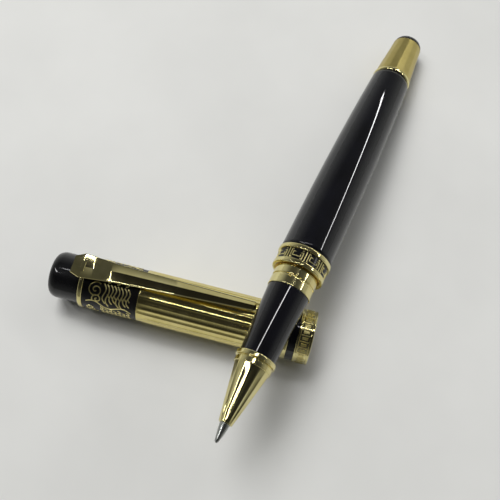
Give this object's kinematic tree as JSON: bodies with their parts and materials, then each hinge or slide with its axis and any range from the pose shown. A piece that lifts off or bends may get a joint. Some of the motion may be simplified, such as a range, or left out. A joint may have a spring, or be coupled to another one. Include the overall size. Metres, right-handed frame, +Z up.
{
  "type": "rollerball pen",
  "caption": "Uncapped rollerball pen resting across its clipped cap: screw barrel, sprung refill with rolling ball, ringed collar, nose cone and hollow cap.",
  "frame": {"origin": "on the table, under the middle of the whole object's box", "axes": "+X along the cap from its finial to its mouth, +Y towards the pen's tail, +Z up from the table"},
  "size_m": [0.0772, 0.1187, 0.0248],
  "materials": {
    "gold_plate": "polished pale gold plating on brass",
    "black_lacquer": "high gloss black lacquer on brass",
    "black_resin": "polished black moulded resin",
    "turned_brass": "plain turned",
    "white_plastic": "satin moulded",
    "polished_steel": "polished",
    "ink_felt": "fibre rod soaked with ink"
  },
  "bodies": {
    "cap": {"cap_finial": "black_resin", "clip_ring": "gold_plate", "cap_band": "black_lacquer", "cap_tube": "gold_plate", "thin_ring": "gold_plate", "black_ring": "black_lacquer", "lip_band": "gold_plate", "inner_tube": "turned_brass", "seal_cup": "white_plastic", "cap_plug": "turned_brass", "cap_screw": "turned_brass"},
    "clip": {"clip": "gold_plate"},
    "section": {"grip_sleeve": "black_lacquer", "section_liner": "turned_brass", "section_collar": "gold_plate", "nose_cone": "gold_plate"},
    "refill": {"refill_tube": "white_plastic", "refill_plug": "white_plastic", "refill_holder": "white_plastic", "refill_point": "polished_steel", "ink_wick": "ink_felt"},
    "ball": {"writing_ball": "polished_steel"},
    "spring": {"refill_spring": "polished_steel"},
    "barrel": {"barrel_tube": "black_lacquer", "barrel_bush": "turned_brass", "trim_ring": "gold_plate", "trim_band": "black_lacquer", "tail_sleeve": "gold_plate", "tail_ring": "gold_plate", "tail_finial": "black_resin", "tail_stud": "turned_brass"}
  },
  "joints": [
    {"name": "pen_lift", "type": "slide", "parent": "cap", "child": "section", "axis": [0, 0, 1], "range_m": [0, 0.06]},
    {"name": "clip_flex", "type": "hinge", "parent": "cap", "child": "clip", "pos_m": [-0.03, -0.02831, 0.01335], "axis": [0.0262, -0.9778, 0.2078], "range_deg": [0, 4], "stiffness_Nm_per_rad": 4, "springref_deg": -0.57},
    {"name": "refill_float", "type": "slide", "parent": "section", "child": "refill", "axis": [-0.19, -0.9684, 0.1614], "range_m": [-0.001, 0], "stiffness_N_per_m": 300, "springref_m": 0.003, "deforming": ["refill_spring"]},
    {"name": "ball_roll", "type": "hinge", "parent": "refill", "child": "ball", "pos_m": [0.01204, -0.05913, 0.02316], "axis": [0.9813, -0.1925, 0], "continuous": true},
    {"name": "barrel_travel", "type": "slide", "parent": "section", "child": "spring", "axis": [0.19, 0.9684, -0.1614], "range_m": [0, 0.006]},
    {"name": "barrel_unscrew", "type": "hinge", "parent": "spring", "child": "barrel", "pos_m": [0.02018, -0.01763, 0.01624], "axis": [0.19, 0.9684, -0.1614], "range_deg": [0, 2160]}
  ],
  "couplings": [
    {"joint": "barrel_unscrew", "follows": "barrel_travel", "rad_per_m": 6283.2}
  ]
}
